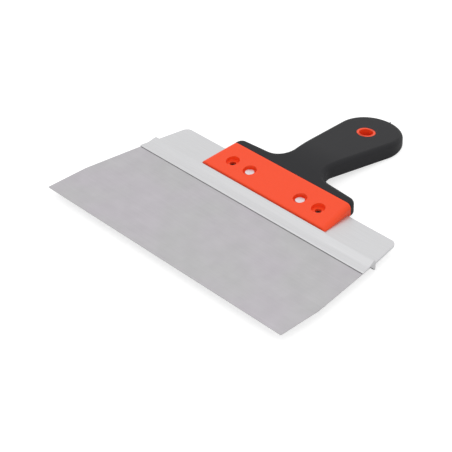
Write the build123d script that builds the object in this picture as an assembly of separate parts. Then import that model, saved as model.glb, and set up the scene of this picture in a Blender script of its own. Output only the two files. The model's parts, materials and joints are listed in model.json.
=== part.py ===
"""Flexible putty knife: a thin spring-steel blade held in an aluminium clamp profile,
which is riveted into the forked front of a two-shot handle with a hang hole.

Millimetres. The origin is the middle of the working edge, at half the blade's thickness.
+X runs along the working edge, +Y towards the handle and +Z out of the upper face.
"""

from build123d import *
import math
import os

# Blade
edge_width = 250.0
blade_thickness = 0.5
blade_reach = 86.7  # working edge to the clamp profile
blade_straight = 36.4  # length of the parallel sides behind the working edge
blade_inset = 0.5  # how far the blade's sides stand inside the profile's ends

# Clamp profile
profile_inset = 6.2  # how far its front corners stand inside the working edge's ends
profile_taper = 0.1746  # half width lost for each unit of depth
profile_depth = 44.1  # front edge of the lip to the rear edge of the web
web_corner_radius = 6.0
web_thickness = 1.6
slot_depth = 13.0  # how far the slot goes in behind the lip's front edge
slot_end_clearance = 0.2
jaw_length = 2.4  # length over which both jaws touch the blade
lip_gap = 0.25  # between the lip and the blade, ahead of the jaws
lip_thickness = 0.8
lip_bevel = 1.1
ridge_height = 3.3  # above the blade's mid-plane
hook_depth = 5.2  # below the blade's mid-plane
ridge_back = 1.1  # the slot's end to the middle of the ridge
ridge_half_width = 0.75
ridge_ramp = 6.8  # length of the slope from the lip up to the ridge
hook_half_width = 0.85
groove_back = 2.2  # the middle of the ridge to the start of the web

# Handle, front flange
flange_gap = 0.7  # between the ridge's rear face and the flange
flange_half_width = 66.11
flange_taper = 0.125  # half width lost for each unit of length
flange_front_top = 3.265
flange_bottom = 3.6
web_cover = 4.5  # the web's rear edge to the line where the soft grip begins
web_slot_clearance = 0.1
web_end_clearance = 0.6

# Handle, lengths along the grip, counted from the line where it begins
shoulder_length = 7.1
shoulder_rise = 2.8  # how much further back the shoulders reach at the neck
waist_length = 21.7
crest_length = 25.2  # to the highest line of the arch
belly_length = 3.7  # to where the lower face starts to rise
end_length = 87.4  # to the centre of the rounded end
hang_inset = 3.2  # how far the hang hole stands ahead of that centre

# Handle, widths and heights of the grip
shoulder_radius = 6.5
waist_half_width = 19.3
waist_radius = 13.5
end_radius = 26.6
top_rise = 0.150  # slope of the flange's upper face
top_fall = 0.104  # slope of the grip's upper face, behind the crest
crest_radius = 120.0
hollow_height = -1.2  # lower face at the finger hollow
end_bottom = 7.6
end_flat_inset = 2.7  # where the end's flat underside starts, ahead of its centre
upper_round = 4.0  # rounding of the handle's upper edges
lower_round = 2.6
front_round = 1.2  # rounding of the front face's edges

# Handle, inside
grip_wall_side = 4.0
grip_wall_face = 2.6
tongue_lap = 10.0  # how far the tongue reaches forward into the flange
ring_radius = 7.5
hang_radius = 5.5

# Stepped holes and rivets
hole_back = 14.3  # flange's front to the row of holes
outer_hole_x = 45.5
inner_hole_x = 26.8
counterbore_radius = 5.4
upper_counterbore_depth = 2.7
lower_counterbore_depth = 1.5
hole_radius = 2.6
rivet_clearance = 0.1
rivet_head_radius = 3.8
rivet_head_height = 0.9
rivet_head_crown = 0.3

# What follows from them
jaw = blade_thickness / 2
web = web_thickness / 2
lip_y = blade_reach
lip_half_width = edge_width / 2 - profile_inset
slot_end_y = lip_y + slot_depth
blade_rear_y = slot_end_y - slot_end_clearance
ridge_y = slot_end_y + ridge_back
groove_y = ridge_y + groove_back
web_rear_y = lip_y + profile_depth
web_rear_half_width = lip_half_width - profile_taper * profile_depth
flange_y = groove_y + flange_gap
hole_y = flange_y + hole_back
colour_y = web_rear_y + web_cover
shoulder_y = colour_y + shoulder_length
neck_root_y = shoulder_y + shoulder_rise
waist_y = colour_y + waist_length
crest_y = colour_y + crest_length
end_centre_y = colour_y + end_length
end_flat_y = end_centre_y - end_flat_inset
hang_y = end_centre_y - hang_inset
tall = 60.0  # longer than any section is high
wide = 2 * edge_width  # wider than any section


def outline(corners):
    """Closed flat face from (x, y, corner radius) triples."""
    points = [(x, y) for x, y, _ in corners]
    radii = [radius for _, _, radius in corners]
    return make_face(FilletPolyline(*points, radius=radii, close=True).edges())


def mirrored(right_side):
    """Whole outline from the corners of its +X half, which run from front to back."""
    left_side = [(-x, y, radius) for x, y, radius in reversed(right_side)]
    return outline(right_side + left_side)


def across(section, half_length):
    """Prism along X of a section drawn in Y and Z."""
    return extrude(Plane.YZ * section, amount=half_length, both=True)


def upright(plan):
    """Prism along Z of a plan drawn in X and Y."""
    return extrude(plan, amount=tall, both=True)


def flange_side(y):
    """Half width of the flange at y."""
    return flange_half_width - flange_taper * (y - flange_y)


def top_at(y):
    """Height of the flange's upper face at y, ahead of the crest."""
    return flange_front_top + top_rise * (y - flange_y)


# ---------------------------------------------------------------- blade


def blade_side(y):
    """Half width of the blade at y, behind its parallel part."""
    at_lip = lip_half_width - blade_inset
    slope = (edge_width / 2 - at_lip) / (lip_y - blade_straight)
    return edge_width / 2 - slope * (y - blade_straight)


def make_blade():
    right_side = [
        (edge_width / 2, 0.0, 0.0),
        (edge_width / 2, blade_straight, 0.0),
        (blade_side(blade_rear_y), blade_rear_y, 0.0),
    ]
    return extrude(mirrored(right_side), amount=jaw, both=True)


# ---------------------------------------------------------------- clamp profile


def profile_section():
    """Lip, ridge, web, hook and lower jaw, with the blade's slot."""
    jaw_y = slot_end_y - jaw_length
    lip_bottom = jaw + lip_gap
    lip_top = lip_bottom + lip_thickness
    return outline(
        [
            (lip_y, lip_bottom, 0.0),
            (lip_y, lip_top - lip_bevel / 2, 0.0),
            (lip_y + lip_bevel, lip_top, 0.0),
            (ridge_y - ridge_ramp, lip_top, 6.0),
            (ridge_y - ridge_half_width, ridge_height, 1.2),
            (ridge_y + ridge_half_width, ridge_height, 0.7),
            (groove_y, web, 0.5),
            (web_rear_y, web, 0.3),
            (web_rear_y, -web, 0.3),
            (groove_y, -web, 0.5),
            (groove_y - 0.3, -hook_depth, 0.8),
            (groove_y - 0.3 - 2 * hook_half_width, -hook_depth, 0.8),
            (slot_end_y - 0.9, -jaw - 1.2, 0.8),
            (jaw_y, -jaw - 0.6, 0.3),
            (jaw_y, -jaw, 0.0),
            (slot_end_y, -jaw, 0.0),
            (slot_end_y, jaw, 0.0),
            (jaw_y, jaw, 0.0),
            (jaw_y - lip_gap, lip_bottom, 0.0),
        ]
    )


def profile_plan():
    """Plan of the cut ends and of the web's rounded rear corners."""
    return mirrored(
        [
            (lip_half_width, lip_y, 0.0),
            (web_rear_half_width, web_rear_y, web_corner_radius),
        ]
    )


def make_clamp_profile():
    bar = across(profile_section(), lip_half_width) & upright(profile_plan())
    for x in hole_places():
        bar -= Pos(x, hole_y, 0) * Cylinder(hole_radius, tall)
    return bar


# ---------------------------------------------------------------- handle


def neck_tangent():
    """Point where the neck's side runs into the rounded end."""
    run = math.hypot(waist_half_width, end_centre_y - waist_y)
    towards_end = math.atan2(end_centre_y - waist_y, -waist_half_width)
    turn = math.asin(end_radius / run)
    length = math.sqrt(run**2 - end_radius**2)
    angle = towards_end - turn
    x = waist_half_width + length * math.cos(angle)
    y = waist_y + length * math.sin(angle)
    return x, y


def neck_side(y):
    """Half width of the neck's straight side, carried on to y."""
    end_x, end_y = neck_tangent()
    slope = (end_x - waist_half_width) / (end_y - waist_y)
    return waist_half_width + slope * (y - waist_y)


def handle_plan():
    """Outline of the whole handle."""
    end_x, end_y = neck_tangent()
    body = mirrored(
        [
            (flange_side(flange_y), flange_y, 0.0),
            (flange_side(shoulder_y), shoulder_y, shoulder_radius),
            (neck_side(neck_root_y), neck_root_y, waist_radius),
            (end_x, end_y, 0.0),
        ]
    )
    return body + Pos(0, end_centre_y) * Circle(end_radius)


def handle_section():
    """Arched side view of the whole handle."""
    rear_y = end_centre_y + end_radius + 1.0
    crest_z = top_at(crest_y)
    return outline(
        [
            (flange_y, -flange_bottom, 0.0),
            (flange_y, flange_front_top, 0.0),
            (crest_y, crest_z, crest_radius),
            (rear_y, crest_z - top_fall * (rear_y - crest_y), 0.0),
            (rear_y, -end_bottom, 0.0),
            (end_flat_y, -end_bottom, 60.0),
            (waist_y, hollow_height, 25.0),
            (colour_y + belly_length, -flange_bottom, 18.0),
        ]
    )


def rim(body, upper):
    """Edges that run round the upper or the lower face, but not across the front."""
    found = []
    for edge in body.edges():
        middle = edge @ 0.5
        steep = abs((edge % 0.5).Z) > 0.9
        beside = abs(middle.X) > 1.0 or middle.Y > end_centre_y + end_radius / 2
        if beside and not steep and (middle.Z > mid_height(middle.Y)) == upper:
            found.append(edge)
    return found


def mid_height(y):
    """Height between the handle's upper and lower faces at y."""
    if y < crest_y:
        return (top_at(y) + hollow_height) / 2
    return (top_at(crest_y) - top_fall * (y - crest_y) - end_bottom) / 2


def front_rim(body):
    """Upper edges of the front face. Its other edges run on from them."""
    return [edge for edge in body.edges() if abs((edge @ 0.5).Y - flange_y) < 0.01 and (edge @ 0.5).Z > 0]


def handle_body():
    """Outer shape of the whole handle, with its edges rounded."""
    body = across(handle_section(), flange_half_width) & upright(handle_plan())
    body = fillet(rim(body, True), upper_round)
    body = fillet(rim(body, False), lower_round)
    return fillet(front_rim(body), front_round)


def core_front():
    """Space ahead of the colour line, where the hard core shows."""
    depth = colour_y - flange_y + 1.0
    return Pos(0, colour_y - depth / 2, 0) * Box(wide, depth, tall)


def tongue_space():
    """Space of the core's tongue, one wall inside the grip."""
    plan = offset(handle_plan(), amount=-grip_wall_side)
    section = offset(handle_section(), amount=-grip_wall_face)
    rear_part = Pos(0, colour_y - tongue_lap + end_length, 0) * Box(wide, 2 * end_length, tall)
    return across(section, flange_half_width) & upright(plan) & rear_part


def hole_places():
    """X of the four stepped holes, left to right."""
    return [-outer_hole_x, -inner_hole_x, inner_hole_x, outer_hole_x]


def upper_ledge():
    """Height of the step inside a hole, above the web."""
    return top_at(hole_y) - upper_counterbore_depth


def lower_ledge():
    """Height of the step inside a hole, under the web."""
    return lower_counterbore_depth - flange_bottom


def stepped_hole(x):
    """Through hole with a wide counterbore in the upper and the lower face."""
    hole = Cylinder(hole_radius, tall)
    above = Pos(0, 0, upper_ledge() + tall / 2) * Cylinder(counterbore_radius, tall)
    below = Pos(0, 0, lower_ledge() - tall / 2) * Cylinder(counterbore_radius, tall)
    return Pos(x, hole_y, 0) * (hole + above + below)


def web_slot():
    """Slot across the flange that takes the profile's web."""
    depth = web_rear_y + web_end_clearance - flange_y
    height = web_thickness + 2 * web_slot_clearance
    return Pos(0, flange_y + depth / 2, 0) * Box(wide, depth, height)


def ring_column(radius):
    """Upright cylinder at the hang hole."""
    return Pos(0, hang_y, 0) * Cylinder(radius, tall)


def make_handle(body):
    """Hard core and the soft grip moulded over it."""
    filled = core_front() + tongue_space() + ring_column(ring_radius)
    core = body & filled
    grip = body - filled
    core -= web_slot()
    core -= ring_column(hang_radius)
    for x in hole_places():
        core -= stepped_hole(x)
    return core, grip


# ---------------------------------------------------------------- rivets


def crowned_head():
    """Rivet head with a slightly domed top, standing on Z = 0."""
    head = Pos(0, 0, rivet_head_height / 2) * Cylinder(rivet_head_radius, rivet_head_height)
    rim = head.edges().filter_by(GeomType.CIRCLE).sort_by(Axis.Z)[-1]
    return fillet(rim, rivet_head_crown)


def make_rivet(x):
    """Shank through the flange and the web, with a head in each counterbore."""
    length = upper_ledge() - lower_ledge()
    shank = Pos(0, 0, lower_ledge() + length / 2) * Cylinder(hole_radius - rivet_clearance, length)
    head = Pos(0, 0, upper_ledge()) * crowned_head()
    tail = Pos(0, 0, lower_ledge()) * (Rot(180, 0, 0) * crowned_head())
    return Pos(x, hole_y, 0) * (shank + head + tail)


# ---------------------------------------------------------------- all pieces


def all_pieces():
    """Every piece by its name."""
    core, grip = make_handle(handle_body())
    return {
        "blade": make_blade(),
        "clamp_profile": make_clamp_profile(),
        "handle_core": core,
        "soft_grip": grip,
        "rivet_left": make_rivet(-inner_hole_x),
        "rivet_right": make_rivet(inner_hole_x),
    }


def main():
    os.makedirs("parts", exist_ok=True)
    for name, shape in all_pieces().items():
        export_step(shape, f"parts/{name}.step")


if __name__ == "__main__":
    main()
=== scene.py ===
"""Looks of a flexible putty knife: spring-steel sheet, aluminium clamp profile, two-colour handle and rivets.

Metres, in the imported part's own frame: +X along the working edge, +Y towards the handle,
+Z out of the upper face.
"""

import json
import math

import bmesh
import bpy
from bpy.props import FloatProperty, FloatVectorProperty, IntProperty, PointerProperty
from mathutils import Matrix, Vector


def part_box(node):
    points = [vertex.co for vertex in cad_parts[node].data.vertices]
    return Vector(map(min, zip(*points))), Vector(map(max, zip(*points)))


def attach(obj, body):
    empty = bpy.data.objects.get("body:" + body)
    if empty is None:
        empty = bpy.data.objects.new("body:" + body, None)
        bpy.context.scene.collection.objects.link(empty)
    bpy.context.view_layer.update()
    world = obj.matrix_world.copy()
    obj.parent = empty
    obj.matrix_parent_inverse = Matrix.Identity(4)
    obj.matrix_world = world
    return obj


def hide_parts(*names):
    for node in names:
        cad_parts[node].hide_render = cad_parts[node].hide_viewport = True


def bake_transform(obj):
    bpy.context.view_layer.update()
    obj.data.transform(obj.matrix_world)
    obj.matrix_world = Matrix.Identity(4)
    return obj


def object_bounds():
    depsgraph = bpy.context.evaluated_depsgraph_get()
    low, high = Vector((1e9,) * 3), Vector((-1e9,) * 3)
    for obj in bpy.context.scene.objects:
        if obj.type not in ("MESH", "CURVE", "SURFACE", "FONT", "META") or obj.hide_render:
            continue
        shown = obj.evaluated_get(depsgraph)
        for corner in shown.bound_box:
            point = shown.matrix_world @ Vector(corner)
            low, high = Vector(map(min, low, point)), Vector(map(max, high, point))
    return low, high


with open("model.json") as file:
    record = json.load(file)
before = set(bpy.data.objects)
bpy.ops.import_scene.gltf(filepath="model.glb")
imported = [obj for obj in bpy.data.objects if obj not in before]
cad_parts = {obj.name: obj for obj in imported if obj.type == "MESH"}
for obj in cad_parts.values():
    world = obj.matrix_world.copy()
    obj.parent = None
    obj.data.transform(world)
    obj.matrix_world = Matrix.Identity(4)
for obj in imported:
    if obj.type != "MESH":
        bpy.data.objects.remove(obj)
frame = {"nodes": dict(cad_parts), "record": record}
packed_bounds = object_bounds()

bl_info = {
    "name": "Flexible Putty Knife",
    "version": (1, 0, 0),
    "blender": (4, 5, 0),
    "location": "View3D > Sidebar > Putty Knife",
    "description": "Builds the looks of a wide flexible putty knife around its packed part",
    "category": "Add Mesh",
}

# Places that come from the frame
blade_low, blade_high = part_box("blade")
profile_low, profile_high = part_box("clamp_profile")
core_low, core_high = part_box("handle_core")
grip_low, grip_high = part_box("soft_grip")
rivet_low, rivet_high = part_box("rivet_right")
mounts = {mount["name"]: mount for mount in frame["record"]["mounts"]}
hang_y = mounts["hang_hole"]["pos_m"][1]
hang_radius = mounts["hang_hole"]["dims"]["r_mm"] / 1000
hole_radius = mounts["spare_holes"]["dims"]["hole_r_mm"] / 1000
outer_hole_x = mounts["spare_holes"]["dims"]["spacing_x_mm"] / 2000
inner_hole_x = (rivet_low.x + rivet_high.x) / 2
hole_y = (rivet_low.y + rivet_high.y) / 2
front_y = core_low.y
end_y = grip_high.y

SAME = 1e-5  # two places nearer than this are one
TALL = 0.05  # longer than the handle is high
BLANK_HALF_HEIGHT = 0.010  # half height of the handle's blank, before it is arched
NEARLY_FULL = 0.999  # share of a full rounding, so that its two halves don't meet

# Radii of the bends in the handle's lower face
BELLY_RADIUS = 0.018
HOLLOW_RADIUS = 0.025
FLAT_RADIUS = 0.060

# Segments of the roundings
SHOULDER_SEGMENTS = 8
ROOT_SEGMENTS = 10
END_SEGMENTS = 28
UPPER_SEGMENTS = 7
LOWER_SEGMENTS = 5
FRONT_SEGMENTS = 4
SEAM_SEGMENTS = 3
NUB_SEGMENTS = 3
RIM_SEGMENTS = 2

# Rows of the handle, and rows and layers of the cage that arches it
FLANGE_ROWS = 12
GRIP_ROWS = 44
CAGE_ROWS = 64
CAGE_LAYERS = 11

# Sockets of the colour form of the Mix node
MIX_FACTOR = 0
MIX_A = 6
MIX_B = 7
MIX_RESULT = 2


# ---------------------------------------------------------------- settings


def length(name, description, default):
    """Setting in metres."""
    return FloatProperty(name=name, description=description, default=default, precision=5, unit="LENGTH")


def colour(name, description, default):
    """Setting for a base colour."""
    return FloatVectorProperty(
        name=name, description=description, default=default, min=0.0, max=1.0, subtype="COLOR"
    )


class PuttyKnifeBlade(bpy.types.PropertyGroup):
    """Sizes of the blade"""

    straight: length("Straight Length", "Length of the parallel sides behind the working edge", 0.0364)
    inset: length("Inset", "How far the sides stand inside the ends of the profile's lip", 0.0005)
    rows: IntProperty(
        name="Flex Rows",
        description="Number of strips between the working edge and the lip, over which the blade bends",
        default=36,
        min=8,
        max=120,
    )


class PuttyKnifeHandle(bpy.types.PropertyGroup):
    """Sizes of the handle"""

    flange_taper: FloatProperty(
        name="Flange Taper", description="Half width lost for each unit of length", default=0.125
    )
    colour_y: length("Colour Line", "Where the hard core ends and the soft grip begins", 0.1353)
    shoulder_y: length("Shoulder", "Where the flange's sides end", 0.1424)
    root_y: length("Neck Root", "Where the shoulders meet the neck", 0.1452)
    waist_y: length("Waist", "Where the neck's half width is given, and the hollow underneath", 0.157)
    waist_half_width: length("Waist Half Width", "Half width of the neck at its waist", 0.0193)
    neck_flare: FloatProperty(
        name="Neck Flare",
        description="Half width gained for each unit of length behind the waist",
        default=0.1137,
    )
    shoulder_radius: length("Shoulder Radius", "Rounding of the shoulders, seen from above", 0.0065)
    root_radius: length("Root Radius", "Hollow rounding between shoulder and neck", 0.0135)
    front_top: length("Front Height", "Height of the flange's upper face at its front", 0.003265)
    front_bottom: length("Front Depth", "Depth of the flange's lower face", 0.0036)
    top_rise: FloatProperty(
        name="Rise",
        description="Slope of the upper face, up to the crest",
        default=0.150,
    )
    top_fall: FloatProperty(
        name="Fall",
        description="Slope of the upper face, behind the crest",
        default=0.104,
    )
    crest_y: length("Crest", "Highest line of the arch", 0.1605)
    crest_radius: length("Crest Radius", "Rounding of the arch", 0.120)
    belly_y: length("Belly", "Where the lower face starts to rise", 0.139)
    hollow_depth: length("Hollow Depth", "Depth of the lower face at the waist", 0.0012)
    flat_y: length("End Flat", "Where the flat under the rounded end begins", 0.220)
    upper_round: length("Upper Rounding", "Rounding of the upper edges", 0.0040)
    lower_round: length("Lower Rounding", "Rounding of the lower edges", 0.0026)
    front_round: length("Front Rounding", "Rounding of the front face's edges", 0.0012)
    seam_round: length("Seam Rounding", "Rounding at the line between the two colours", 0.00035)


class PuttyKnifeHoles(bpy.types.PropertyGroup):
    """Sizes of the stepped holes, the web's slot and the hang hole"""

    counterbore: length("Counterbore Radius", "Radius of the wide part of a stepped hole", 0.0054)
    rivet_head: length("Rivet Head Height", "Height of a rivet's head above the step in its hole", 0.0009)
    rim_round: length("Rim Rounding", "Rounding of the holes' upper rims", 0.00025)
    slot_height: length("Slot Height", "Height of the slot that takes the profile's web", 0.0018)
    slot_clearance: length("Slot Clearance", "Space behind the web, inside its slot", 0.0006)
    ring_radius: length("Ring Radius", "Outer radius of the ring round the hang hole", 0.0075)
    ring_round: length("Ring Rounding", "Rounding of the ring's rims", 0.0005)
    nub_radius: length("Gate Mark Radius", "Radius of the small moulding mark at the end", 0.0005)


class PuttyKnifeColours(bpy.types.PropertyGroup):
    """Base colours of the materials"""

    steel: colour("Spring Steel", "Base colour of the blade", (0.492, 0.486, 0.494))
    steel_patch: colour(
        "Spring Steel Patches", "Base colour of the blade's broad, faint patches", (0.506, 0.483, 0.512)
    )
    aluminium: colour("Aluminium", "Base colour of the clamp profile", (0.650, 0.650, 0.660))
    rivet: colour("Rivet Aluminium", "Base colour of the rivets", (0.76, 0.71, 0.73))
    core: colour("Hard Core", "Base colour of the red-orange hard plastic", (0.89, 0.068, 0.015))
    # Painted highlight: lighter red laid on the hard core's edges and roundings
    core_highlight: colour("Hard Core Painted Highlight", "Lighter red painted on the hard core's edges and roundings as a highlight", (0.93, 0.22, 0.15))
    grip: colour("Soft Grip", "Base colour of the dark grey soft moulding", (0.0155, 0.0155, 0.0175))
    # Painted highlight: lighter grey laid on the grip's edges and roundings
    grip_highlight: colour("Soft Grip Painted Highlight", "Lighter grey painted on the grip's edges and roundings as a highlight", (0.036, 0.036, 0.039))


class PuttyKnifeStage(bpy.types.PropertyGroup):
    """Camera, light and floor"""

    azimuth: FloatProperty(
        name="Camera Azimuth",
        description="Angle of the camera round the object, from the working edge's front",
        default=math.radians(47.81),
        subtype="ANGLE",
    )
    elevation: FloatProperty(
        name="Camera Elevation",
        description="Angle of the camera above the floor",
        default=math.radians(35.36),
        subtype="ANGLE",
    )
    roll: FloatProperty(
        name="Camera Roll",
        description="Turn of the camera about its line of sight",
        default=math.radians(-1.85),
        subtype="ANGLE",
    )
    distance: length("Camera Distance", "Distance from the camera to the point that it looks at", 1.1081)
    aim: FloatVectorProperty(
        name="Camera Aim",
        description="Point that the camera looks at",
        default=(0.00845, 0.05985, 0.0),
        subtype="TRANSLATION",
    )
    lens: FloatProperty(
        name="Focal Length",
        description="Focal length of the camera, in millimetres",
        default=121.13,
    )
    surround: FloatProperty(
        name="Surround Brightness",
        description="Brightness of the white surround as a light",
        default=1.0,
        min=0.0,
    )
    overhead: FloatProperty(
        name="Overhead Brightness",
        description="Brightness of the soft light over the object",
        default=0.16,
        min=0.0,
    )
    overhead_size: length("Overhead Size", "Side of the square soft light over the object", 2.4)
    overhead_height: length("Overhead Height", "Height of the soft light over the object", 1.6)
    floor_size: length("Floor Size", "Side of the square floor", 6.0)


# ---------------------------------------------------------------- mesh editing


def rename_active(name):
    """Names the newest object and its mesh, and puts its place into the mesh."""
    piece = bpy.context.active_object
    piece.name = name
    piece.data.name = name
    bpy.ops.object.transform_apply(location=True, rotation=True, scale=True)
    return piece


def add_box(name, low, high):
    """Named box between two corners."""
    bpy.ops.object.select_all(action="DESELECT")
    bpy.ops.mesh.primitive_cube_add(size=1.0, location=(low + high) / 2, scale=high - low)
    return rename_active(name)


def add_cylinder(name, x, y, low, high, radius, sides=64):
    """Named upright cylinder between two heights."""
    bpy.ops.object.select_all(action="DESELECT")
    place = (x, y, (low + high) / 2)
    bpy.ops.mesh.primitive_cylinder_add(vertices=sides, radius=radius, depth=high - low, location=place)
    return rename_active(name)


def edit(piece):
    """Opens one mesh in edit mode."""
    bpy.ops.object.select_all(action="DESELECT")
    bpy.context.view_layer.objects.active = piece
    piece.select_set(True)
    bpy.ops.object.mode_set(mode="EDIT")


def pick(piece, kind, test):
    """Selects the points, edges or faces of the edited mesh that pass a test."""
    bpy.context.tool_settings.mesh_select_mode = tuple(kind == each for each in ("verts", "edges", "faces"))
    bpy.ops.mesh.select_all(action="DESELECT")
    mesh = bmesh.from_edit_mesh(piece.data)
    found = [item for item in getattr(mesh, kind) if test(item)]
    for item in found:
        item.select_set(True)
    bmesh.update_edit_mesh(piece.data)
    if not found:
        raise RuntimeError(f"{piece.name} has no such {kind}")


def both_ends(test):
    """Test of an edge that asks the same of its two ends."""
    return lambda edge: all(test(point.co) for point in edge.verts)


def extrude(move):
    """Extrudes what is selected and moves it."""
    bpy.ops.mesh.extrude_region_move(TRANSFORM_OT_translate={"value": move})


def bevel(width, segments):
    """Rounds the selected edges."""
    bpy.ops.mesh.bevel(
        offset=width,
        offset_type="OFFSET",
        segments=segments,
        profile=0.5,
        affect="EDGES",
        clamp_overlap=False,
    )


def slice_mesh(place, across, **parts):
    """Cuts the edited mesh through a plane. With parts, one side is removed and the cut closed."""
    bpy.ops.mesh.select_all(action="SELECT")
    bpy.ops.mesh.bisect(plane_co=place, plane_no=across, **parts)


def apply_modifier(piece, modifier):
    """Applies one modifier."""
    bpy.ops.object.select_all(action="DESELECT")
    bpy.context.view_layer.objects.active = piece
    piece.select_set(True)
    bpy.ops.object.modifier_apply(modifier=modifier.name)


def combine(piece, other, operation):
    """Cuts, joins or intersects a piece with another solid, which is used up."""
    modifier = piece.modifiers.new("combine", "BOOLEAN")
    modifier.operation = operation
    modifier.solver = "EXACT"
    modifier.object = other
    apply_modifier(piece, modifier)
    bpy.data.objects.remove(other)
    if not piece.data.polygons:
        raise RuntimeError(f"{piece.name} vanished when it was combined")


def finish_mesh(piece, sharp_above=math.radians(32)):
    """Outward normals, no doubled points, and smooth shading that keeps the flats flat."""
    edit(piece)
    bpy.ops.mesh.select_all(action="SELECT")
    bpy.ops.mesh.remove_doubles(threshold=SAME / 2)
    bpy.ops.mesh.normals_make_consistent(inside=False)
    bpy.ops.object.mode_set(mode="OBJECT")
    bpy.ops.object.shade_smooth_by_angle(angle=sharp_above)
    weighted = piece.modifiers.new("weighted", "WEIGHTED_NORMAL")
    weighted.keep_sharp = True
    apply_modifier(piece, weighted)
    if not piece.data.polygons:
        raise RuntimeError(f"{piece.name} has no faces")


def dress(piece, material):
    """Gives a piece one material."""
    piece.data.materials.clear()
    piece.data.materials.append(material)


def evenly(start, end, count):
    """Places that divide a stretch into equal parts."""
    return [start + (end - start) * i / count for i in range(1, count)]


# ---------------------------------------------------------------- node groups


def node_group(name, inputs, outputs):
    """New node group, with its own input and output nodes."""
    group = bpy.data.node_groups.new(name, "ShaderNodeTree")
    for label, kind, value in inputs:
        socket = group.interface.new_socket(label, in_out="INPUT", socket_type=kind)
        if value is not None:
            socket.default_value = value
    for label, kind in outputs:
        group.interface.new_socket(label, in_out="OUTPUT", socket_type=kind)
    given = group.nodes.new("NodeGroupInput")
    result = group.nodes.new("NodeGroupOutput")
    return group, given, result


def brushed_lines():
    """Fine lines along one axis, as a value and as a normal."""
    name = "Brushed Lines"
    if name in bpy.data.node_groups:
        return bpy.data.node_groups[name]
    inputs = [
        ("Coordinates", "NodeSocketVector", None),
        ("Stretch", "NodeSocketVector", (40.0, 3000.0, 3000.0)),
        ("Depth", "NodeSocketFloat", 0.1),
    ]
    outputs = [("Value", "NodeSocketFloat"), ("Normal", "NodeSocketVector")]
    group, given, result = node_group(name, inputs, outputs)
    stretched = group.nodes.new("ShaderNodeVectorMath")
    stretched.operation = "MULTIPLY"
    lines = group.nodes.new("ShaderNodeTexNoise")
    lines.inputs["Scale"].default_value = 1.0
    lines.inputs["Detail"].default_value = 3.0
    relief = group.nodes.new("ShaderNodeBump")
    relief.inputs["Distance"].default_value = 0.00002
    link = group.links.new
    link(given.outputs["Coordinates"], stretched.inputs[0])
    link(given.outputs["Stretch"], stretched.inputs[1])
    link(stretched.outputs["Vector"], lines.inputs["Vector"])
    link(lines.outputs["Fac"], relief.inputs["Height"])
    link(given.outputs["Depth"], relief.inputs["Strength"])
    link(lines.outputs["Fac"], result.inputs["Value"])
    link(relief.outputs["Normal"], result.inputs["Normal"])
    return group


def fine_grain():
    """Moulded grain, as a value and as a normal."""
    name = "Fine Grain"
    if name in bpy.data.node_groups:
        return bpy.data.node_groups[name]
    inputs = [
        ("Coordinates", "NodeSocketVector", None),
        ("Scale", "NodeSocketFloat", 1500.0),
        ("Depth", "NodeSocketFloat", 0.2),
    ]
    outputs = [("Value", "NodeSocketFloat"), ("Normal", "NodeSocketVector")]
    group, given, result = node_group(name, inputs, outputs)
    grain = group.nodes.new("ShaderNodeTexNoise")
    grain.inputs["Detail"].default_value = 2.0
    relief = group.nodes.new("ShaderNodeBump")
    relief.inputs["Distance"].default_value = 0.00006
    link = group.links.new
    link(given.outputs["Coordinates"], grain.inputs["Vector"])
    link(given.outputs["Scale"], grain.inputs["Scale"])
    link(grain.outputs["Fac"], relief.inputs["Height"])
    link(given.outputs["Depth"], relief.inputs["Strength"])
    link(grain.outputs["Fac"], result.inputs["Value"])
    link(relief.outputs["Normal"], result.inputs["Normal"])
    return group


def painted_edge_highlight():
    """Mask of the edges and roundings, broken up by noise, where a lighter colour is painted on as a
    highlight.
    """
    name = "Rubbed Edges"
    if name in bpy.data.node_groups:
        return bpy.data.node_groups[name]
    inputs = [
        ("Coordinates", "NodeSocketVector", None),
        ("Reach", "NodeSocketFloat", 0.0004),
        ("Amount", "NodeSocketFloat", 0.5),
    ]
    group, given, result = node_group(name, inputs, [("Mask", "NodeSocketFloat")])
    rounded = group.nodes.new("ShaderNodeBevel")
    rounded.samples = 6
    surface = group.nodes.new("ShaderNodeNewGeometry")
    likeness = group.nodes.new("ShaderNodeVectorMath")
    likeness.operation = "DOT_PRODUCT"
    edge = group.nodes.new("ShaderNodeMapRange")
    edge.inputs["From Min"].default_value = 0.99
    edge.inputs["From Max"].default_value = 0.80
    patches = group.nodes.new("ShaderNodeTexNoise")
    patches.inputs["Scale"].default_value = 260.0
    broken = group.nodes.new("ShaderNodeMapRange")
    broken.inputs["From Min"].default_value = 0.30
    broken.inputs["From Max"].default_value = 0.55
    both = group.nodes.new("ShaderNodeMath")
    both.operation = "MULTIPLY"
    scaled = group.nodes.new("ShaderNodeMath")
    scaled.operation = "MULTIPLY"
    link = group.links.new
    link(given.outputs["Reach"], rounded.inputs["Radius"])
    link(rounded.outputs["Normal"], likeness.inputs[0])
    link(surface.outputs["Normal"], likeness.inputs[1])
    link(likeness.outputs["Value"], edge.inputs["Value"])
    link(given.outputs["Coordinates"], patches.inputs["Vector"])
    link(patches.outputs["Fac"], broken.inputs["Value"])
    link(edge.outputs["Result"], both.inputs[0])
    link(broken.outputs["Result"], both.inputs[1])
    link(both.outputs["Value"], scaled.inputs[0])
    link(given.outputs["Amount"], scaled.inputs[1])
    link(scaled.outputs["Value"], result.inputs["Mask"])
    return group


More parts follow.
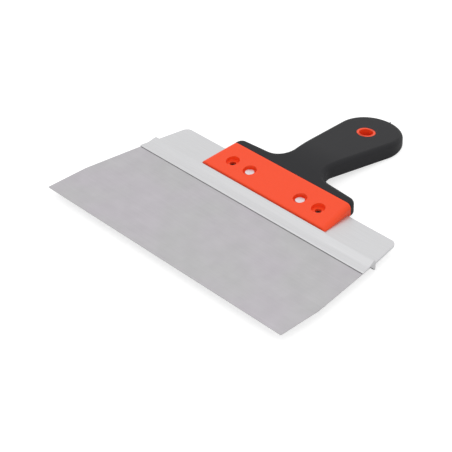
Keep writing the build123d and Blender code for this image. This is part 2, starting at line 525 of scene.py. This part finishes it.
def shaded_tint():
    """Colour that a value takes from a little darker to a little lighter."""
    name = "Shaded Tint"
    if name in bpy.data.node_groups:
        return bpy.data.node_groups[name]
    inputs = [
        ("Colour", "NodeSocketColor", (0.5, 0.5, 0.5, 1.0)),
        ("Value", "NodeSocketFloat", 0.5),
        ("Spread", "NodeSocketFloat", 0.1),
    ]
    group, given, result = node_group(name, inputs, [("Colour", "NodeSocketColor")])
    centred = group.nodes.new("ShaderNodeMath")
    centred.operation = "MULTIPLY_ADD"
    centred.inputs[1].default_value = 2.0
    centred.inputs[2].default_value = -1.0
    factor = group.nodes.new("ShaderNodeMath")
    factor.operation = "MULTIPLY_ADD"
    factor.inputs[2].default_value = 1.0
    scaled = group.nodes.new("ShaderNodeVectorMath")
    scaled.operation = "SCALE"
    link = group.links.new
    link(given.outputs["Value"], centred.inputs[0])
    link(centred.outputs["Value"], factor.inputs[0])
    link(given.outputs["Spread"], factor.inputs[1])
    link(given.outputs["Colour"], scaled.inputs["Vector"])
    link(factor.outputs["Value"], scaled.inputs["Scale"])
    link(scaled.outputs["Vector"], result.inputs["Colour"])
    return group


# ---------------------------------------------------------------- materials


def use_group(tree, group, **values):
    """Group node in a material, with some of its inputs set."""
    node = tree.nodes.new("ShaderNodeGroup")
    node.node_tree = group
    for label, value in values.items():
        node.inputs[label].default_value = value
    return node


def start_material(name, metallic, roughness, specular=0.5):
    """New material with its shader, its node tree and its Object coordinates."""
    material = bpy.data.materials.new(name)
    material.use_nodes = True
    tree = material.node_tree
    shader = tree.nodes["Principled BSDF"]
    shader.inputs["Metallic"].default_value = metallic
    shader.inputs["Roughness"].default_value = roughness
    shader.inputs["Specular IOR Level"].default_value = specular
    coordinates = tree.nodes.new("ShaderNodeTexCoord").outputs["Object"]
    return material, tree, shader, coordinates


def tint(tree, shader, value, spread):
    """Shades the shader's base colour by a value, and gives the node that holds the colour."""
    tinted = use_group(tree, shaded_tint(), Spread=spread)
    tree.links.new(value, tinted.inputs["Value"])
    tree.links.new(tinted.outputs["Colour"], shader.inputs["Base Color"])
    return tinted


def brushed_metal(name, base, roughness, stretch, spread, depth):
    """Metal with fine lines along one axis."""
    material, tree, shader, coordinates = start_material(name, 1.0, roughness)
    lines = use_group(tree, brushed_lines(), Stretch=stretch, Depth=depth)
    tree.links.new(coordinates, lines.inputs["Coordinates"])
    tree.links.new(lines.outputs["Normal"], shader.inputs["Normal"])
    tinted = tint(tree, shader, lines.outputs["Value"], spread)
    tinted.inputs["Colour"].default_value = (*base, 1.0)
    return material


def mottled_steel(name, base, patch, roughness):
    """Spring steel: broad faint patches, small clouds and fine lines along the working edge."""
    material, tree, shader, coordinates = start_material(name, 1.0, roughness)
    link = tree.links.new
    lines = use_group(tree, brushed_lines(), Stretch=(14.0, 1100.0, 1100.0), Depth=0.12)
    clouds = tree.nodes.new("ShaderNodeTexNoise")
    clouds.inputs["Scale"].default_value = 75.0
    clouds.inputs["Detail"].default_value = 6.0
    patches = tree.nodes.new("ShaderNodeTexNoise")
    patches.inputs["Scale"].default_value = 16.0
    patches.inputs["Detail"].default_value = 2.0
    edges = tree.nodes.new("ShaderNodeMapRange")
    edges.inputs["From Min"].default_value = 0.40
    edges.inputs["From Max"].default_value = 0.60
    two_tone = tree.nodes.new("ShaderNodeMix")
    two_tone.data_type = "RGBA"
    two_tone.inputs[MIX_A].default_value = (*base, 1.0)
    two_tone.inputs[MIX_B].default_value = (*patch, 1.0)
    both = tree.nodes.new("ShaderNodeMix")
    both.inputs["Factor"].default_value = 0.35
    link(coordinates, lines.inputs["Coordinates"])
    link(coordinates, clouds.inputs["Vector"])
    link(coordinates, patches.inputs["Vector"])
    link(clouds.outputs["Fac"], both.inputs["A"])
    link(lines.outputs["Value"], both.inputs["B"])
    link(patches.outputs["Fac"], edges.inputs["Value"])
    link(edges.outputs["Result"], two_tone.inputs[MIX_FACTOR])
    link(lines.outputs["Normal"], shader.inputs["Normal"])
    tinted = tint(tree, shader, both.outputs["Result"], 0.14)
    link(two_tone.outputs[MIX_RESULT], tinted.inputs["Colour"])
    return material


def moulded_plastic(name, base, highlight_colour, roughness, specular, scale, depth, spread):
    """Plastic or rubber with a fine moulded grain, and a painted highlight: a lighter colour along its edges
    and roundings.
    """
    material, tree, shader, coordinates = start_material(name, 0.0, roughness, specular)
    grain = use_group(tree, fine_grain(), Scale=scale, Depth=depth)
    # Painted highlight: a lighter colour is mixed in along edges and roundings, where the bevelled normal
    # turns away from the surface's own
    edges = use_group(tree, painted_edge_highlight(), Reach=0.0005, Amount=0.6)
    mixed = tree.nodes.new("ShaderNodeMix")
    mixed.data_type = "RGBA"
    mixed.inputs[MIX_A].default_value = (*base, 1.0)
    mixed.inputs[MIX_B].default_value = (*highlight_colour, 1.0)
    link = tree.links.new
    link(coordinates, grain.inputs["Coordinates"])
    link(coordinates, edges.inputs["Coordinates"])
    link(grain.outputs["Normal"], shader.inputs["Normal"])
    link(edges.outputs["Mask"], mixed.inputs[MIX_FACTOR])
    tinted = tint(tree, shader, grain.outputs["Value"], spread)
    link(mixed.outputs[MIX_RESULT], tinted.inputs["Colour"])
    return material


def core_plastic(colours):
    """The hard core's material, made once."""
    name = "Red Hard Plastic"
    return bpy.data.materials.get(name) or moulded_plastic(
        name,
        colours.core,
        # lighter red painted on the edges and roundings as a highlight
        colours.core_highlight,
        roughness=0.38,
        specular=0.25,
        scale=900.0,
        depth=0.06,
        spread=0.03,
    )


# ---------------------------------------------------------------- handle's form


def ramp(distance, half):
    """Rises one for one past a knee, turning smoothly over half a width on each side of it."""
    if distance <= -half:
        return 0.0
    if distance >= half:
        return distance
    return (distance + half) ** 2 / (4 * half)


def height_along(y, start_height, start_slope, knees):
    """Height at y of a line that starts at the handle's front and bends at its knees."""
    height = start_height + start_slope * (y - front_y)
    for knee_y, change, radius in knees:
        height += change * ramp(y - knee_y, radius * abs(change) / 2)
    return height


def upper_line(handle, y):
    """Height of the handle's upper face."""
    return height_along(
        y,
        handle.front_top,
        handle.top_rise,
        [(handle.crest_y, -handle.top_rise - handle.top_fall, handle.crest_radius)],
    )


def lower_line(handle, y):
    """Height of the handle's lower face: flat, up to the hollow, down to the end's flat."""
    up = (handle.front_bottom - handle.hollow_depth) / (handle.waist_y - handle.belly_y)
    down = (-grip_low.z - handle.hollow_depth) / (handle.flat_y - handle.waist_y)
    knees = [
        (handle.belly_y, up, BELLY_RADIUS),
        (handle.waist_y, -up - down, HOLLOW_RADIUS),
        (handle.flat_y, down, FLAT_RADIUS),
    ]
    return height_along(y, -handle.front_bottom, 0.0, knees)


def neck_side(handle, y):
    """Half width of the neck at y."""
    return handle.waist_half_width + handle.neck_flare * (y - handle.waist_y)


def round_corner(piece, before, corner, after, radius, segments):
    """Rounds the upright edge at a corner of the plan, and its mirror image, to a radius."""
    turn = (before - corner).angle(after - corner)
    width = radius / math.tan(turn / 2)

    def upright(edge):
        one, two = (point.co for point in edge.verts)
        level = abs(one.x - two.x) < SAME and abs(one.y - two.y) < SAME
        return level and abs(abs(one.x) - corner.x) < SAME and abs(one.y - corner.y) < SAME

    pick(piece, "edges", upright)
    bevel(width, segments)


def handle_blank(name, handle):
    """Blank of the handle with the right plan, flat on both faces."""
    front_x = core_high.x + handle.flange_taper * handle.front_round
    shoulder = Vector((front_x - handle.flange_taper * (handle.shoulder_y - front_y), handle.shoulder_y))
    root = Vector((neck_side(handle, handle.root_y), handle.root_y))
    end = Vector((neck_side(handle, end_y), end_y))
    low = Vector((-front_x, front_y, -BLANK_HALF_HEIGHT))
    high = Vector((front_x, shoulder.y, BLANK_HALF_HEIGHT))
    piece = add_box(name, low, high)
    edit(piece)
    for side in (-1, 1):
        slice_mesh((side * root.x, 0.0, 0.0), (1.0, 0.0, 0.0))

    # The neck is drawn out of the middle of the flange's rear face
    pick(piece, "faces", lambda face: face.normal.y > 0.9 and abs(face.calc_center_median().x) < root.x)
    extrude((0.0, end.y - shoulder.y, 0.0))
    bpy.ops.transform.resize(value=(end.x / root.x, 1.0, 1.0), center_override=(0.0, end.y, 0.0))

    def at_shoulder(point):
        return abs(point.co.y - shoulder.y) < SAME

    pick(piece, "verts", lambda point: at_shoulder(point) and abs(point.co.x) > root.x + SAME)
    bpy.ops.transform.resize(value=(shoulder.x / front_x, 1.0, 1.0), center_override=(0.0, shoulder.y, 0.0))
    pick(piece, "verts", lambda point: at_shoulder(point) and abs(point.co.x) < root.x + SAME)
    bpy.ops.transform.translate(value=(0.0, root.y - shoulder.y, 0.0))

    for direction in (-1, 1):
        pick(piece, "faces", lambda face: face.normal.z * direction > 0.9)
        bpy.ops.mesh.dissolve_faces()
    pick(piece, "faces", lambda face: face.normal.y < -0.9)
    bpy.ops.mesh.dissolve_faces()

    front = Vector((front_x, front_y))
    round_corner(piece, front, shoulder, root, handle.shoulder_radius, SHOULDER_SEGMENTS)
    round_corner(piece, shoulder, root, end, handle.root_radius, ROOT_SEGMENTS)
    full_round = NEARLY_FULL * end.x * math.tan((root - end).angle(Vector((-1.0, 0.0))) / 2)
    round_corner(piece, root, end, Vector((0.0, end.y)), full_round, END_SEGMENTS)
    return piece


def round_rims(piece, handle):
    """Rounds the long upper and lower edges and the front face's edges of the blank."""

    def rim(height):
        def test(edge):
            at_height = all(abs(point.co.z - height) < SAME for point in edge.verts)
            at_front = all(abs(point.co.y - front_y) < SAME for point in edge.verts)
            return at_height and not at_front

        return test

    pick(piece, "edges", rim(BLANK_HALF_HEIGHT))
    bevel(handle.upper_round, UPPER_SEGMENTS)
    pick(piece, "edges", rim(-BLANK_HALF_HEIGHT))
    bevel(handle.lower_round, LOWER_SEGMENTS)
    pick(piece, "edges", both_ends(lambda place: abs(place.y - front_y) < SAME))
    bevel(handle.front_round, FRONT_SEGMENTS)


def arch(piece, handle):
    """Bends the blank's faces to their lines, with a cage that leaves the roundings as they are."""
    low = Vector((-2 * core_high.x, front_y, -BLANK_HALF_HEIGHT))
    high = Vector((2 * core_high.x, end_y, BLANK_HALF_HEIGHT))
    bpy.ops.object.select_all(action="DESELECT")
    bpy.ops.object.add(type="LATTICE", location=(low + high) / 2)
    cage = bpy.context.active_object
    cage.scale = high - low
    cage.data.points_u, cage.data.points_v, cage.data.points_w = 2, CAGE_ROWS, CAGE_LAYERS
    for axis in "uvw":
        setattr(cage.data, f"interpolation_type_{axis}", "KEY_LINEAR")
    bpy.context.view_layer.update()
    to_cage = cage.matrix_world.inverted()
    for knot in cage.data.points:
        place = cage.matrix_world @ knot.co
        rise = upper_line(handle, place.y) - BLANK_HALF_HEIGHT
        drop = lower_line(handle, place.y) + BLANK_HALF_HEIGHT
        share = 0.5 if abs(place.z) < SAME else float(place.z > 0)
        place.z += share * rise + (1 - share) * drop
        knot.co_deform = to_cage @ place
    modifier = piece.modifiers.new("arch", "LATTICE")
    modifier.object = cage
    apply_modifier(piece, modifier)
    bpy.data.objects.remove(cage)


def handle_form(name, handle):
    """Outer form of the whole handle."""
    piece = handle_blank(name, handle)
    round_rims(piece, handle)
    rows = evenly(front_y, handle.colour_y, FLANGE_ROWS) + evenly(handle.colour_y, end_y, GRIP_ROWS)
    for y in rows:
        slice_mesh((0.0, y, 0.0), (0.0, 1.0, 0.0))
    bpy.ops.object.mode_set(mode="OBJECT")
    arch(piece, handle)
    return piece


def keep_side(piece, y, rear, rounding):
    """Keeps what is ahead of or behind a plane, closes the cut and rounds its rim."""
    edit(piece)
    slice_mesh((0.0, y, 0.0), (0.0, 1.0, 0.0), use_fill=True, clear_inner=rear, clear_outer=not rear)
    pick(piece, "edges", both_ends(lambda place: abs(place.y - y) < SAME))
    bevel(rounding, SEAM_SEGMENTS)
    bpy.ops.object.mode_set(mode="OBJECT")


def round_hole_rim(piece, x, y, radius, above, width):
    """Rounds the rim that a round hole has on the upper face."""

    def on_rim(place):
        reach = math.hypot(place.x - x, place.y - y)
        return abs(reach - radius) < 0.00004 and place.z > above

    edit(piece)
    pick(piece, "edges", both_ends(on_rim))
    bevel(width, RIM_SEGMENTS)
    bpy.ops.object.mode_set(mode="OBJECT")


# ---------------------------------------------------------------- pieces


class MakeBlade(bpy.types.Operator):
    """Spring-steel sheet, cut across into strips"""

    bl_idname = "putty_knife.make_blade"
    bl_label = "Make Blade"

    def execute(self, context):
        blade = context.scene.putty_knife_blade
        colours = context.scene.putty_knife_colours
        piece = add_box("blade_sheet", blade_low, blade_high)
        lip_y = profile_low.y
        half_width = blade_high.x
        taper = (half_width - profile_high.x + blade.inset) / (lip_y - blade.straight)
        rows = [lip_y * i / blade.rows for i in range(1, blade.rows + 1)]
        nearest = min(range(blade.rows), key=lambda i: abs(rows[i] - blade.straight))
        rows[nearest] = blade.straight
        edit(piece)
        for y in rows:
            slice_mesh((0.0, y, 0.0), (0.0, 1.0, 0.0))
        for y in [*rows[nearest + 1 :], blade_high.y]:
            share = 1 - taper * (y - blade.straight) / half_width
            pick(piece, "verts", lambda point: abs(point.co.y - y) < SAME)
            bpy.ops.transform.resize(value=(share, 1.0, 1.0), center_override=(0.0, y, 0.0))
        bpy.ops.object.mode_set(mode="OBJECT")
        finish_mesh(piece)
        steel = mottled_steel("Spring Steel", colours.steel, colours.steel_patch, roughness=0.38)
        dress(piece, steel)
        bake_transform(piece)
        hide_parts("blade")
        return {"FINISHED"}


class MakeProfile(bpy.types.Operator):
    """Extruded aluminium clamp profile"""

    bl_idname = "putty_knife.make_profile"
    bl_label = "Make Profile"

    def execute(self, context):
        colours = context.scene.putty_knife_colours
        metal = brushed_metal(
            "Extruded Aluminium",
            colours.aluminium,
            roughness=0.34,
            stretch=(30.0, 2600.0, 2600.0),
            spread=0.10,
            depth=0.2,
        )
        dress(frame["nodes"]["clamp_profile"], metal)
        return {"FINISHED"}


def stepped_cutter(x, holes):
    """Cutter of one stepped hole: wide below, narrow through the middle, wide above."""
    upper_step = rivet_high.z - holes.rivet_head
    lower_step = rivet_low.z + holes.rivet_head
    cutter = add_cylinder("cutter", x, hole_y, lower_step - TALL, lower_step, holes.counterbore, sides=48)
    edit(cutter)
    pick(cutter, "faces", lambda face: face.normal.z > 0.9)
    bpy.ops.mesh.inset(thickness=holes.counterbore - hole_radius)
    extrude((0.0, 0.0, upper_step - lower_step))
    extrude((0.0, 0.0, 0.0))
    widen = holes.counterbore / hole_radius
    bpy.ops.transform.resize(value=(widen, widen, 1.0), center_override=(x, hole_y, upper_step))
    extrude((0.0, 0.0, TALL))
    bpy.ops.mesh.select_all(action="SELECT")
    bpy.ops.mesh.normals_make_consistent(inside=False)
    bpy.ops.object.mode_set(mode="OBJECT")
    return cutter


class MakeCore(bpy.types.Operator):
    """Hard core: the flange with its holes and slot, and the ring round the hang hole"""

    bl_idname = "putty_knife.make_core"
    bl_label = "Make Core"

    def execute(self, context):
        handle = context.scene.putty_knife_handle
        holes = context.scene.putty_knife_holes
        plastic = core_plastic(context.scene.putty_knife_colours)

        flange = handle_form("core_flange", handle)
        keep_side(flange, handle.colour_y, False, handle.seam_round)
        for x in (-outer_hole_x, -inner_hole_x, inner_hole_x, outer_hole_x):
            combine(flange, stepped_cutter(x, holes), "DIFFERENCE")
            round_hole_rim(flange, x, hole_y, holes.counterbore, rivet_high.z, holes.rim_round)
        half_slot = holes.slot_height / 2
        low = Vector((-2 * core_high.x, front_y - TALL, -half_slot))
        high = Vector((2 * core_high.x, profile_high.y + holes.slot_clearance, half_slot))
        combine(flange, add_box("cutter", low, high), "DIFFERENCE")
        finish_mesh(flange)
        dress(flange, plastic)
        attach(flange, "handle")
        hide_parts("handle_core")

        ring = handle_form("hang_ring", handle)
        combine(ring, add_cylinder("cutter", 0.0, hang_y, -TALL, TALL, holes.ring_radius, 72), "INTERSECT")
        combine(ring, add_cylinder("cutter", 0.0, hang_y, -TALL, TALL, hang_radius, 72), "DIFFERENCE")
        round_hole_rim(ring, 0.0, hang_y, hang_radius, 0.0, holes.ring_round)
        round_hole_rim(ring, 0.0, hang_y, holes.ring_radius, 0.0, holes.rim_round)
        finish_mesh(ring)
        dress(ring, plastic)
        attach(ring, "handle")
        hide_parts("handle_core")
        return {"FINISHED"}


def gate_mark(handle, holes):
    """Small round mark left by moulding, on the upper rounding at the very end."""
    depth = 0.003
    round_y = end_y - handle.upper_round
    round_z = upper_line(handle, round_y) - handle.upper_round
    tilt = math.radians(45)
    outwards = Vector((0.0, math.sin(tilt), math.cos(tilt)))
    middle = Vector((0.0, round_y, round_z)) + outwards * (handle.upper_round + holes.nub_radius - depth / 2)
    bpy.ops.object.select_all(action="DESELECT")
    bpy.ops.mesh.primitive_cylinder_add(
        vertices=20, radius=holes.nub_radius, depth=depth, location=middle, rotation=(-tilt, 0.0, 0.0)
    )
    mark = rename_active("gate_mark")
    edit(mark)
    top = middle + outwards * depth / 2
    pick(mark, "edges", both_ends(lambda place: abs((place - top).dot(outwards)) < SAME))
    bevel(holes.nub_radius / 2, NUB_SEGMENTS)
    bpy.ops.object.mode_set(mode="OBJECT")
    return mark


class MakeGrip(bpy.types.Operator):
    """Soft grip: shoulders, neck and rounded end"""

    bl_idname = "putty_knife.make_grip"
    bl_label = "Make Grip"

    def execute(self, context):
        handle = context.scene.putty_knife_handle
        holes = context.scene.putty_knife_holes
        colours = context.scene.putty_knife_colours
        grip = handle_form("grip_moulding", handle)
        keep_side(grip, handle.colour_y, True, handle.seam_round)
        combine(grip, add_cylinder("cutter", 0.0, hang_y, -TALL, TALL, holes.ring_radius, 72), "DIFFERENCE")
        round_hole_rim(grip, 0.0, hang_y, holes.ring_radius, 0.0, holes.rim_round)
        rubber = moulded_plastic(
            "Soft Grip",
            colours.grip,
            # lighter grey painted on the edges and roundings as a highlight
            colours.grip_highlight,
            roughness=0.55,
            specular=0.22,
            scale=1400.0,
            depth=0.35,
            spread=0.15,
        )
        for piece in (grip, gate_mark(handle, holes)):
            finish_mesh(piece)
            dress(piece, rubber)
            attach(piece, "handle")
            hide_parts("soft_grip")
        return {"FINISHED"}


class MakeRivets(bpy.types.Operator):
    """Two rivets in the inner stepped holes"""

    bl_idname = "putty_knife.make_rivets"
    bl_label = "Make Rivets"

    def execute(self, context):
        colours = context.scene.putty_knife_colours
        metal = brushed_metal(
            "Rivet Aluminium",
            colours.rivet,
            roughness=0.36,
            stretch=(900.0, 900.0, 900.0),
            spread=0.06,
            depth=0.1,
        )
        for name in ("rivet_left", "rivet_right"):
            dress(frame["nodes"][name], metal)
        return {"FINISHED"}


# ---------------------------------------------------------------- stage


def view_from(azimuth, elevation):
    """Direction from the object towards the camera."""
    level = math.cos(elevation)
    return Vector((level * math.sin(azimuth), -level * math.cos(azimuth), math.sin(elevation)))


def turn_to(place, aim, roll):
    """Turn that looks from a place at an aim."""
    look = (aim - place).to_track_quat("-Z", "Y").to_matrix()
    return (look @ Matrix.Rotation(roll, 3, "Z")).to_euler()


def floor_material():
    """Floor: white to the camera where nothing shades it, pale in reflections, and darker as a light."""
    material = bpy.data.materials.new("Pale Floor")
    material.use_nodes = True
    tree = material.node_tree
    tree.nodes.remove(tree.nodes["Principled BSDF"])
    new = tree.nodes.new
    seen, mirrored, bounce = (new("ShaderNodeBsdfDiffuse") for _ in range(3))
    for shade, level in ((seen, 0.5), (mirrored, 0.85), (bounce, 0.32)):
        shade.inputs["Color"].default_value = (level, level, level, 1.0)
    lift = new("ShaderNodeEmission")
    lift.inputs["Strength"].default_value = 0.68
    both = new("ShaderNodeAddShader")
    rays = new("ShaderNodeLightPath")
    not_seen = new("ShaderNodeMixShader")
    choice = new("ShaderNodeMixShader")
    link = tree.links.new
    link(seen.outputs["BSDF"], both.inputs[0])
    link(lift.outputs["Emission"], both.inputs[1])
    link(rays.outputs["Is Glossy Ray"], not_seen.inputs["Fac"])
    link(bounce.outputs["BSDF"], not_seen.inputs[1])
    link(mirrored.outputs["BSDF"], not_seen.inputs[2])
    link(rays.outputs["Is Camera Ray"], choice.inputs["Fac"])
    link(not_seen.outputs["Shader"], choice.inputs[1])
    link(both.outputs["Shader"], choice.inputs[2])
    link(choice.outputs["Shader"], tree.nodes["Material Output"].inputs["Surface"])
    return material


def light_surround(scene, strength):
    """White surround: full white when seen or mirrored, and with its own strength as a light."""
    world = bpy.data.worlds.new("Surround")
    scene.world = world
    world.use_nodes = True
    tree = world.node_tree
    tree.nodes.clear()
    as_light, as_seen = (tree.nodes.new("ShaderNodeBackground") for _ in range(2))
    for shade, level in ((as_light, strength), (as_seen, 1.0)):
        shade.inputs["Color"].default_value = (1.0, 1.0, 1.0, 1.0)
        shade.inputs["Strength"].default_value = level
    rays = tree.nodes.new("ShaderNodeLightPath")
    direct, either = (tree.nodes.new("ShaderNodeMath") for _ in range(2))
    direct.operation = either.operation = "MAXIMUM"
    choice = tree.nodes.new("ShaderNodeMixShader")
    output = tree.nodes.new("ShaderNodeOutputWorld")
    link = tree.links.new
    link(rays.outputs["Is Camera Ray"], direct.inputs[0])
    link(rays.outputs["Is Glossy Ray"], direct.inputs[1])
    link(direct.outputs["Value"], either.inputs[0])
    link(rays.outputs["Is Transmission Ray"], either.inputs[1])
    link(either.outputs["Value"], choice.inputs["Fac"])
    link(as_light.outputs["Background"], choice.inputs[1])
    link(as_seen.outputs["Background"], choice.inputs[2])
    link(choice.outputs["Shader"], output.inputs["Surface"])


class MakeStage(bpy.types.Operator):
    """Floor, soft light, white surround and camera"""

    bl_idname = "putty_knife.make_stage"
    bl_label = "Make Stage"

    def execute(self, context):
        scene = context.scene
        stage = scene.putty_knife_stage
        middle = Vector(stage.aim)

        bpy.ops.object.select_all(action="DESELECT")
        floor_place = (middle.x, middle.y, packed_bounds[0].z)
        bpy.ops.mesh.primitive_plane_add(size=stage.floor_size, location=floor_place)
        floor = context.active_object
        floor.name = "floor"
        dress(floor, floor_material())

        bpy.ops.object.light_add(type="AREA", location=middle + Vector((0.0, 0.0, stage.overhead_height)))
        soft_light = context.active_object
        soft_light.name = "overhead_light"
        soft_light.data.size = stage.overhead_size
        soft_light.data.energy = math.pi * stage.overhead_size**2 * stage.overhead

        place = middle + view_from(stage.azimuth, stage.elevation) * stage.distance
        bpy.ops.object.camera_add(location=place, rotation=turn_to(place, middle, stage.roll))
        camera = context.active_object
        camera.name = "main_camera"
        camera.data.lens = stage.lens
        camera.data.sensor_width = 36.0
        scene.camera = camera

        light_surround(scene, stage.surround)
        scene.view_settings.view_transform = "Standard"
        return {"FINISHED"}


# ---------------------------------------------------------------- add-on


STEPS = (MakeBlade, MakeProfile, MakeCore, MakeGrip, MakeRivets, MakeStage)
SETTINGS = {
    "putty_knife_blade": PuttyKnifeBlade,
    "putty_knife_handle": PuttyKnifeHandle,
    "putty_knife_holes": PuttyKnifeHoles,
    "putty_knife_colours": PuttyKnifeColours,
    "putty_knife_stage": PuttyKnifeStage,
}


class PuttyKnifePanel(bpy.types.Panel):
    """Settings and steps of the putty knife"""

    bl_idname = "VIEW3D_PT_putty_knife"
    bl_label = "Putty Knife"
    bl_space_type = "VIEW_3D"
    bl_region_type = "UI"
    bl_category = "Putty Knife"

    def draw(self, context):
        for name, kind in SETTINGS.items():
            box = self.layout.box()
            for setting in kind.__annotations__:
                box.prop(getattr(context.scene, name), setting)
        for step in STEPS:
            self.layout.operator(step.bl_idname)


CLASSES = (*SETTINGS.values(), *STEPS, PuttyKnifePanel)


def register():
    for kind in CLASSES:
        bpy.utils.register_class(kind)
    for name, kind in SETTINGS.items():
        setattr(bpy.types.Scene, name, PointerProperty(type=kind))


def unregister():
    for name in SETTINGS:
        delattr(bpy.types.Scene, name)
    for kind in reversed(CLASSES):
        bpy.utils.unregister_class(kind)


def main():
    register()
    bpy.ops.putty_knife.make_blade()
    bpy.ops.putty_knife.make_profile()
    bpy.ops.putty_knife.make_core()
    bpy.ops.putty_knife.make_grip()
    bpy.ops.putty_knife.make_rivets()
    bpy.ops.putty_knife.make_stage()


if __name__ == "__main__":
    main()
